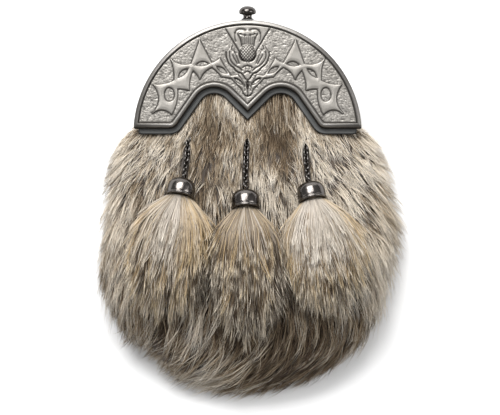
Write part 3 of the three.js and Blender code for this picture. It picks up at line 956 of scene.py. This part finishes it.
# darker and lighter parts of the coat: centre and reach in millimetres, shift of the tint. Many are painted
# light and shade: painted shade between and below the tassels and at the bottom of the pouch, painted light
# on the flanks that slope away from the light; the others are the coat's own tone
coatToneLightAndShade = table("x y reach tint", [
    (-22, -42, 11, -0.5), (-24, -71, 9, -0.4), (-44, -90, 14, 0.22), (-12, -88, 16, -0.4),
    (20, -34, 11, -0.55), (24, -63, 15, -0.6), (36, -84, 7, 0.25), (48, -74, 14, -0.25),
    (4, -106, 34, -0.58), (-76, -2, 38, 0.45), (-74, -55, 26, 0.45), (74, 4, 42, 0.65),
    (74, -56, 22, 0.25), (-20, 16, 15, -0.42), (14, 22, 14, -0.34), (-18, 44, 15, -0.16),
])
# by height: lean of the hair at the left and right sides, how far it stands off there, and its
# sweep to the lower left
hairFlow = table("y left right offLeft offRight sweep", [
    (-112, -32, 14, 0, 0, 0.95),
    (-92, -30, 12, 0, 0, 0.55),
    (-70, -26, 18, 0, 0, 0.06),
    (-45, -18, 28, 2, 1, 0),
    (-15, -8, 32, 4, 5, 0),
    (15, -14, 30, 7, 6, 0),
    (45, -30, 30, 5, 5, 0),
])
flowSpan = 85         # half width of the pouch where the lean is full
sweepAngle = -54
# edge of the coat seen from the front; single tips reach past it
coatEdge = [
    (-71, 47), (-77, 37), (-84, 28), (-88.5, 19), (-90.5, 5), (-90.5, -25), (-93, -42), (-94, -50),
    (-90, -60), (-81, -78), (-76, -87), (-66, -90.5), (-57, -96), (-50.5, -105), (-44, -113), (-35, -119),
    (-5, -124.5), (20, -120), (36, -117.5), (55, -109), (69, -93), (80.5, -77), (87, -58), (90.5, -40),
    (95.5, -22), (95.5, -10), (90.5, -1), (89, 18), (84, 29), (77, 38), (70, 46), (55, 80), (-55, 80),
]
tipReach = {"spread": 2.8, "back": 1.4, "most": 8, "shortest": 0.45, "cuts": np.linspace(0.5, 1, 6)}
# room for the chains: pairs run along a chain from where it comes out, or from its lower end
chainRoom = {"parting": 2.1, "reach": 6, "cover": 2.4, "coverWidth": 3.2, "coverFade": (-1, 5),
             "partFade": (2, -2), "endFade": (-8, -2)}
underYoke = {"gap": 0.3, "climb": 1.3, "reach": 8}


def flowAt(y, column):
    return np.interp(y, [row["y"] for row in hairFlow], [row[column] for row in hairFlow])


def flowAngle(x, y):
    # way the hair lies in plan, in radians from straight down, positive to the right
    sweep = flowAt(y, "sweep")
    lean = np.where(x < 0, flowAt(y, "left"), flowAt(y, "right"))
    side = np.minimum(np.abs(x) / flowSpan, 1.1) ** 1.15 * lean
    return np.radians(side * (1 - sweep) + sweepAngle * sweep)


def chainRun(side):
    # middle of a chain in plan, as x by y, and its lower end
    points = nodePoints("tassel_chain_" + side)[:, :2] / mm
    return np.polyfit(points[:, 1], points[:, 0], 2), points[:, 1].min()


def coverOverChains(x, y):
    # extra lift of the hair that hides the upper end of each chain
    lift = 0
    for side, out in chainOut.items():
        run, _ = chainRun(side)
        over = bell(x, np.polyval(run, y), chainRoom["coverWidth"])
        lift = lift + chainRoom["cover"] * over * smoothStep(*chainRoom["coverFade"], y - out)
    return lift


def combAside(lines):
    # hair beside the open part of a chain lies to one side of it
    reach, parting = chainRoom["reach"], chainRoom["parting"]
    for side, out in chainOut.items():
        run, low = chainRun(side)
        y = lines[..., 1]
        off = lines[..., 0] - np.polyval(run, y)
        way = np.where(off.mean(1, keepdims=True) < 0, -1, 1)
        own = off * way
        kept = parting + np.maximum(own, 0) * (reach - parting) / reach
        fade = smoothStep(*chainRoom["partFade"], y - out) * smoothStep(*chainRoom["endFade"], y - low)
        lines[..., 0] += np.where(own < reach, kept - own, 0) * way * fade
    return lines


def tuckUnderYoke(lines):
    # hair stays below the yoke's leather and rises only past its edge
    edge = cantleOutline(yoke["radius"], yoke["drop"])
    past = signedDistance(lines[..., 0], lines[..., 1], edge)
    highest = yoke["base"] - underYoke["gap"] + underYoke["climb"] * np.maximum(past, 0)
    lines[..., 2] = np.where(past < underYoke["reach"], np.minimum(lines[..., 2], highest), lines[..., 2])
    return lines


def alongStrands(lines, at):
    # points of the strands at places counted in their own points
    k = np.minimum(at.astype(int), lines.shape[1] - 2)
    f = (at - k)[..., None]
    row = np.arange(len(lines))[:, None]
    return lines[row, k] * (1 - f) + lines[row, k + 1] * f


def trimToEdge(lines, rng):
    # strands are cut back to the coat's edge, each with its own small reach past it
    own = rng.exponential(tipReach["spread"], len(lines)) - tipReach["back"]
    reach = np.minimum(own, tipReach["most"])
    last = lines.shape[1] - 1
    keep = np.full(len(lines), tipReach["shortest"])
    for t in tipReach["cuts"]:
        spot = alongStrands(lines, np.full((len(lines), 1), t * last))[:, 0]
        keep = np.where(signedDistance(spot[:, 0], spot[:, 1], coatEdge) < reach, t, keep)
    return alongStrands(lines, keep[:, None] * np.arange(last + 1)[None])


def coatRoots(coat, rng):
    # places of the locks on the furry face, and that face for the combing
    g = growth
    bm = mergedNode("pouch_fur")
    outer = set(outerFaces(bm))
    bmesh.ops.delete(bm, geom=[f for f in bm.faces if f not in outer], context="FACES")
    bmesh.ops.triangulate(bm, faces=bm.faces)
    bm.normal_update()
    surface = BVHTree.FromBMesh(bm)
    corners = np.array([[v.co for v in f.verts] for f in bm.faces]) / mm
    bm.free()
    first, second = corners[:, 1] - corners[:, 0], corners[:, 2] - corners[:, 0]
    areas = np.linalg.norm(np.cross(first, second), axis=1)
    areas *= 1 + g["density"] * smoothStep(*g["denser"], corners[:, :, 1].mean(1))
    pick = rng.choice(len(corners), coat["locks"] * 4, p=areas / areas.sum())
    a, b = rng.random(len(pick)), rng.random(len(pick))
    flip = a + b > 1
    a[flip], b[flip] = 1 - a[flip], 1 - b[flip]
    roots = corners[pick, 0] + a[:, None] * first[pick]
    roots += b[:, None] * second[pick]
    under = -signedDistance(roots[:, 0], roots[:, 1], cantleOutline(yoke["radius"], yoke["drop"]))
    keep = (under < g["underYoke"]) & (roots[:, 2] > g["lowestRoot"])
    return roots[keep][:coat["locks"]], surface


def combLocks(coat, roots, surface, rng):
    # middle line of each lock, walked down the furry face along the flow, and the face's normals there
    g = growth
    count, points = len(roots), coat["points"]
    shortest, longest = coat["length"]
    lengths = shortest + (longest - shortest) * smoothStep(*g["longer"], roots[:, 1])
    low = g["lowLength"] + (1 - g["lowLength"]) * smoothStep(*g["lowRoots"], roots[:, 2])
    lengths = lengths * rng.uniform(*g["lengthSpread"], count) * low
    bend = rng.normal(0, np.radians(g["bend"]), count)
    neck = smoothStep(*g["neck"], roots[:, 1])
    layer = rng.uniform(*coat["layer"], count)
    layer = layer * (1 - neck) + (g["neckLayer"] * layer + g["neckLift"]) * neck
    sink = g["rootSink"] * (1 - g["neckRoots"] * neck)
    if coat["guard"]:
        layer = layer + coverOverChains(roots[:, 0], roots[:, 1] - 0.3 * lengths)
    spots = np.zeros((count, points, 3))
    normals = np.zeros((count, points, 3))
    for i in range(count):
        spot = Vector(roots[i])
        way = None
        step = lengths[i] / (points - 1)
        for k in range(points):
            at, normal, _, _ = surface.find_nearest(spot * mm)
            at, v = at / mm, k / (points - 1)
            steep = 1 - min(1, max(0, normal.z) / g["upright"])
            lift = -sink[i] * (1 - v) ** 3 + layer[i] * min(1, g["layerGain"] * v)
            lift -= g["droop"] * max(0, v - g["droopFrom"])
            loose = min(1, g["freeGain"] * max(0, v - g["freeFrom"])) * steep ** 0.75
            place = (at + normal * lift).lerp(spot, loose)
            place.z = max(place.z, g["lowestLock"])
            spots[i, k] = place
            normals[i, k] = normal
            angle = float(flowAngle(place.x, place.y)) + bend[i]
            flow = Vector((math.sin(angle), -math.cos(angle), 0))
            flow -= normal * flow.dot(normal) * (g["hug"] - g["hugLoss"] * steep)
            flow.normalize()
            if way is not None:
                flow = (way * (1 - g["turning"]) + flow * g["turning"]).normalized()
            way = flow
            spot = at.lerp(spot, loose) + way * step
    return spots, normals


def lockStrands(coat, roots, spots, normals, rng):
    # strands round each lock's middle line, drawn together at its tip, each with its own wave and length
    count, points, per = len(roots), coat["points"], coat["perLock"]
    v = np.linspace(0, 1, points)[None, None, :, None]
    across = unit(np.cross(unit(np.gradient(spots, axis=1)), normals))
    gather = 1 - coat["gather"] * v ** 1.4
    sideways = rng.normal(0, 0.5, (count, per, 1, 1)) * coat["lockWidth"]
    upward = rng.normal(0, 0.5, (count, per, 1, 1)) * coat["lockThick"]
    lines = spots[:, None] + across[:, None] * sideways * gather
    lines = lines + normals[:, None] * upward * (0.4 + 0.6 * gather)
    w = growth["wave"]
    phase = rng.random((count, 1, 1, 1)) * anyPhase
    wave = w["size"] * np.sin(v * w["turns"] + phase) * v
    wave = wave + w["tips"] * rng.normal(0, 1, (count, per, 1, 1)) * v ** 2
    own = rng.random((count, per, 1, 1)) * anyPhase
    wave = wave + w["own"] * np.sin(v * w["ownTurns"] + own) * v
    lines = lines + across[:, None] * wave
    stretch = rng.uniform(*growth["stretch"], (count, per, 1, 1))
    first = lines[:, :, :1]
    lines = first + (lines - first) * stretch
    standOff = np.where(roots[:, 0] < 0, flowAt(roots[:, 1], "offLeft"), flowAt(roots[:, 1], "offRight"))
    lines[..., :2] += (normals[..., :2] * standOff[:, None, None])[:, None] * v ** 1.3
    lines[..., 2] = np.maximum(lines[..., 2], growth["lowest"])
    lines = lines.reshape(count * per, points, 3)
    if coat["guard"]:
        lines = combAside(lines)
    return tuckUnderYoke(trimToEdge(lines, rng))


def coatTints(coat, tips, rng):
    # tint of every strand, from where the tip of its lock lies
    g = growth
    x, y = tips[:, 0], tips[:, 1]
    tint = np.full(len(tips), coat["tint"])
    # the patches paint shade and light as well as shifting the coat's own tone
    for patch in coatToneLightAndShade:
        tint += patch["tint"] * bell(np.hypot(x - patch["x"], y - patch["y"]), 0, patch["reach"])
    for streak in streaks:
        for _ in range(streak["count"]):
            spot = rng.uniform(*streakArea)
            far = np.hypot(x - spot[0], (y - spot[1]) / streakLong) / rng.uniform(*streak["width"])
            tint += rng.normal(0, streak["strength"]) * bell(far)
    lockTint = g["lockTint"] + g["bottomTint"] * smoothStep(*g["bottom"], y)
    tint = tint + rng.normal(0, 1, len(tips)) * lockTint
    tints = tint[:, None] + rng.normal(0, g["strandTint"], (len(tips), coat["perLock"]))
    return np.clip(tints, 0.03, 0.97).reshape(-1)


def buildCoat(name, coat):
    rng = np.random.default_rng(coat["seed"])
    roots, surface = coatRoots(coat, rng)
    spots, normals = combLocks(coat, roots, surface, rng)
    print(name, "locks combed", len(roots))
    lines = lockStrands(coat, roots, spots, normals, rng)
    tints = coatTints(coat, spots[:, -1], rng)
    shape = 1 - growth["taper"] * np.linspace(0, 1, coat["points"]) ** 2.2
    radii = strandRadii(coat["radius"], len(lines), shape, rng)
    order = rng.permutation(len(lines))
    for p, part in enumerate(np.array_split(order, coat["pieces"])):
        mesh = strandMesh(f"{name}_{p}", lines[part] * mm, radii[part] * mm, tints[part], p)
        finishPiece(f"{name}_{p}", mesh, pouchHair)


for coatName, coatValues in coats.items():
    buildCoat(coatName, coatValues)
print("pouch hair ready")


# Tassels: a bundle of long hair bound in the cap, spreading like a brush
tassel = {
    "locks": 430,
    "perLock": 7,
    "points": 5,
    "length": (28, 56),
    "radius": 0.185,
    "taper": 0.5,
    "guard": 0.26,                # share of longer, stouter hairs with pale tips
    "guardRadius": 1.35,
    "gaps": 0.22,                 # share of dark locks in the lower half
    "depth": (0.62, 1.02),        # how far out in the bundle the locks lie
    "depthScatter": 0.05,
    "depthLimits": (0.15, 1.03),
    "guardDepth": 0.04,
    "turnScatter": 0.11,
    "underside": -0.35,           # locks lower than this are turned up to the visible side
    "ends": (0.36, 0.68),         # first end along the tassel, and how far the others follow it
    "lockEnds": (0.92, 1.06),
    "hairEnds": (0.94, 1.03),
    "inCap": 1.2,
    "bound": (9, 3),              # hairs that start this near the cap are bound in it
    "rootRise": 0.6,
    "gather": {"guard": 0.6, "other": 0.92},      # how far the hairs of a lock draw together
    "flare": {"start": 0.27, "gain": 0.73, "from": 0.8, "length": 11},
    "narrows": 0.1,
    "splay": 1.5,
    "drift": 2.4,                 # sideways, of whole locks and of single hairs at their tips
    "stray": {"guard": 2, "other": 0.5},
    "wave": {"size": 0.8, "turns": 5, "own": 0.4, "ownTurns": 8, "up": 0.3, "upTurns": 7},
    "tipLift": (-2, 3.2),
    "ringGap": 0.8,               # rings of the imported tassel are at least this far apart
    "core": 0.74,
    "coreLength": 0.86,
    "seed": 23,
}
# tints of the hairs that differ from the tassel's tone, how far a golden part or a part of painted shade
# reaches, how much locks and strands differ, and how far below the start of the dark part the gaps and pale
# tips begin
tasselTint = {"gold": 0.51, "grey": 0.24, "gap": 0.07, "guard": 0.26, "shade": 0.04,
              "goldReach": 0.3, "goldFade": 3, "shadeAcross": 0.2, "shadeAlong": 0.28,
              "lock": 0.05, "lowerLock": 1.6, "strand": 0.055, "guardStrand": 0.03,
              "darkSpan": 0.4, "gapBelow": 0.12, "guardBelow": 0.1, "sides": (0.5, 1)}
# look of each tassel: tint at the top, share of grey hairs, where and how far it darkens to the
# bottom, how far it darkens to its sides as painted shade of the round bundle, how far from the cap its
# golden hairs start, and where across and along it the golden hairs and the painted shade beside the next
# tassel lie
tasselLooks = {
    "left": {"tone": 0.9, "grey": 0.08, "darkFrom": 0.52, "drop": 0.43, "sides": 0.25, "goldFrom": -4,
             "gold": table("across along share", [(0.5, 0.3, 0.9), (-0.5, 0.5, 0.45)]),
             "shade": table("across along share", [(1, 0.5, 0.85), (0.85, 0.85, 0.9)])},
    "centre": {"tone": 0.76, "grey": 0.5, "darkFrom": 0.38, "drop": 0.68, "sides": 0.4, "goldFrom": 6,
               "gold": table("across along share", [(-0.6, 0.42, 0.55), (0.6, 0.42, 0.55)]),
               "shade": table("across along share", [(-1, 0.7, 0.9), (1, 0.7, 0.9)])},
    "right": {"tone": 0.91, "grey": 0, "darkFrom": 0.56, "drop": 0.6, "sides": 0.28, "goldFrom": 3,
              "gold": table("across along share", [(-0.85, 0.42, 0.7), (0.75, 0.42, 0.7)]),
              "shade": table("across along share", [(-1, 0.8, 0.9), (-0.7, 0.95, 0.5)])},
}


def tasselAxis(side):
    # rim of the cap, and the ways down the tassel and to its right in plan
    rim, axis = lineOf("tassel_cap_" + side)
    down = -np.array([axis.x, axis.y, 0]) / math.hypot(axis.x, axis.y)
    right = np.cross(down, [0, 0, 1])
    return np.array(rim) / mm, down, right if right[0] > 0 else -right


def tasselRings(name, rim, down, right):
    # place along the lean, then centre across, half width, level and half thickness of each ring
    points = nodePoints(name) / mm
    along = (points - rim) @ down
    order = np.argsort(along)
    groups = np.split(order, np.where(np.diff(along[order]) > tassel["ringGap"])[0] + 1)
    rows = []
    for group in groups:
        ring = points[group]
        sideways = (ring - rim) @ right
        rows.append([along[group].mean(), (sideways.max() + sideways.min()) / 2, np.ptp(sideways) / 2,
                     (ring[:, 2].max() + ring[:, 2].min()) / 2, np.ptp(ring[:, 2]) / 2])
    return np.array(rows)


def ringsAt(rows, s):
    # the same four measures of the tassel at any places along it
    return [np.interp(s, rows[:, 0], rows[:, k]) for k in (1, 2, 3, 4)]


def tasselStrands(rows, rng):
    # strands as across, along and level, and what their tints follow
    t = tassel
    locks, per = t["locks"], t["perLock"]
    total, widest = rows[-1, 0], rows[:, 2].max()
    fullest = int(np.argmax(rows[:, 2]))
    turn = rng.uniform(0, 2 * math.pi, (locks, 1))
    turn = np.where(np.sin(turn) < t["underside"], -turn, turn)
    deep = rng.uniform(*t["depth"], (locks, 1))
    turns = turn + rng.normal(0, t["turnScatter"], (locks, per))
    guard = rng.random((locks, per)) < t["guard"]
    deeps = deep + rng.normal(0, t["depthScatter"], (locks, per))
    deeps = np.clip(deeps, *t["depthLimits"]) + t["guardDepth"] * guard
    lateral, height = deeps * np.cos(turns), deeps * np.sin(turns)

    # where each hair starts and ends: shorter ones first, the longest reach the bottom
    reach = np.interp(-np.abs(lateral), -rows[fullest:, 2] / widest, rows[fullest:, 0])
    ends = reach * (t["ends"][0] + t["ends"][1] * np.linspace(0, 1, locks)[:, None] ** 0.75)
    ends = ends * rng.uniform(*t["lockEnds"], (locks, 1)) * rng.uniform(*t["hairEnds"], (locks, per))
    starts = np.maximum(ends - rng.uniform(*t["length"], (locks, 1)), -t["inCap"])
    v = 1 - (1 - np.linspace(0, 1, t["points"])) ** 1.5
    along = starts[..., None] + (ends - starts)[..., None] * v

    # the brush opens quickly under the cap and draws in a little at the bottom
    middle, half, _, _ = ringsAt(rows, np.minimum(along, rows[fullest, 0]))
    f = t["flare"]
    opened = 1 - np.exp(-np.maximum(along - f["from"], 0) / f["length"])
    half = np.where(along > 0, np.maximum(half, widest * (f["start"] + f["gain"] * opened)), half)
    half = half * (1 - t["narrows"] * smoothStep(rows[fullest, 0], total, along))
    _, _, level, thick = ringsAt(rows, along)

    # hairs of a lock draw together at its tip, with waves of the lock and of the hair
    bound = smoothStep(*t["bound"], starts)[..., None]
    rise = np.maximum(t["rootRise"] + (1 - t["rootRise"]) * v ** 0.7, bound)
    gather = v ** 1.5 * np.where(guard, t["gather"]["guard"], t["gather"]["other"])[..., None]
    across, height = [(part[..., None] * (1 - gather) + part.mean(1)[:, None, None] * gather) * rise
                      for part in (lateral, height)]
    phase = rng.random((locks, 1, 1)) * anyPhase
    own = rng.random((locks, per, 1)) * anyPhase
    w = t["wave"]
    wave = w["size"] * np.sin(w["turns"] * v + phase) * v + w["own"] * np.sin(w["ownTurns"] * v + own) * v
    stray = np.where(guard, t["stray"]["guard"], t["stray"]["other"])[..., None]
    stray = rng.normal(0, 1, (locks, per, 1)) * stray
    wave = wave + (rng.normal(0, t["drift"], (locks, 1, 1)) + stray) * v ** 2
    x = middle + across * half + t["splay"] * lateral[..., None] * v ** 2 + wave
    tipLift = rng.uniform(*t["tipLift"], (locks, 1, 1)) * v ** 2
    z = level + height * thick * 0.97 + w["up"] * np.sin(w["upTurns"] * v + own) * v + tipLift
    hairs = {"lateral": lateral, "guard": guard, "starts": starts, "low": ends / total,
             "passing": (0.45 * starts + 0.55 * ends) / total}
    return x, along, z, v, hairs


def tasselTints(look, hairs, rng):
    own = tasselTint
    lateral, guard, low, passing = hairs["lateral"], hairs["guard"], hairs["low"], hairs["passing"]
    locks, per = lateral.shape
    dark, gold = look["darkFrom"], look["goldFrom"]
    lower = smoothStep(dark, dark + own["darkSpan"], low)
    tint = look["tone"] - look["drop"] * lower
    # painted shade: darker towards the sides of the round bundle
    tint = tint - look["sides"] * smoothStep(*own["sides"], np.abs(lateral))
    free = smoothStep(gold - own["goldFade"], gold + own["goldFade"], hairs["starts"])
    for part in look["gold"]:
        far = np.hypot(lateral - part["across"], passing - part["along"])
        tint = tint + (own["gold"] - tint) * part["share"] * free * bell(far, 0, own["goldReach"])
    tint = np.where(rng.random((locks, per)) < look["grey"], own["grey"], tint)
    tint = tint + rng.normal(0, own["lock"], (locks, 1)) * (1 + own["lowerLock"] * lower)
    tint = tint + rng.normal(0, own["strand"], (locks, per))
    gap = rng.random((locks, 1)) < tassel["gaps"]
    tint = np.where(gap & (low > dark + own["gapBelow"]), own["gap"], tint)
    guardTint = own["guard"] + rng.normal(0, own["guardStrand"], (locks, per))
    tint = np.where(guard & (low > dark + own["guardBelow"]), guardTint, tint)
    # painted shade on the hair beside the next tassel
    for part in look["shade"]:
        far = np.hypot((lateral - part["across"]) / own["shadeAcross"],
                       (passing - part["along"]) / own["shadeAlong"])
        tint = tint + (own["shade"] - tint) * part["share"] * bell(far)
    return np.clip(tint, 0.01, 0.99).reshape(-1)


def buildTassel(side, seed):
    t = tassel
    rng = np.random.default_rng(seed)
    rim, down, right = tasselAxis(side)
    rows = tasselRings("tassel_fur_" + side, rim, down, right)
    x, along, z, v, hairs = tasselStrands(rows, rng)
    lines = rim + right * x[..., None] + down * along[..., None]
    lines[..., 2] = z
    lines = lines.reshape(-1, t["points"], 3)
    tints = tasselTints(tasselLooks[side], hairs, rng)
    radii = strandRadii(t["radius"], len(lines), 1 - t["taper"] * v ** 3, rng)
    radii = radii * np.where(hairs["guard"], t["guardRadius"], 1).reshape(-1, 1)
    mesh = strandMesh("tasselHair_" + side, lines * mm, radii * mm, tints, seed)
    finishPiece("tasselHair_" + side, mesh, tasselHair, "tassel_fur_" + side)

    # soft core, so that no light comes through the bundle
    bm = mergedNode("tassel_fur_" + side)
    for vert in bm.verts:
        p = np.array(vert.co) / mm
        along = (p - rim) @ down
        middle, _, level, _ = ringsAt(rows, along)
        lean = (p - rim) @ right
        spot = rim + right * (middle + (lean - middle) * t["core"]) + down * (along * t["coreLength"])
        vert.co = (spot[0] * mm, spot[1] * mm, (level + (p[2] - level) * t["core"]) * mm)
    finishPiece("tasselCore_" + side, bm, tasselWool)


for number, tasselSide in enumerate(tasselSides):
    buildTassel(tasselSide, tassel["seed"] + number)
print("tassels ready")


def dressBack():
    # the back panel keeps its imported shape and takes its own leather
    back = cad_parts["pouch_back"]
    back.data.materials.clear()
    back.data.materials.append(backLeather)


dressBack()
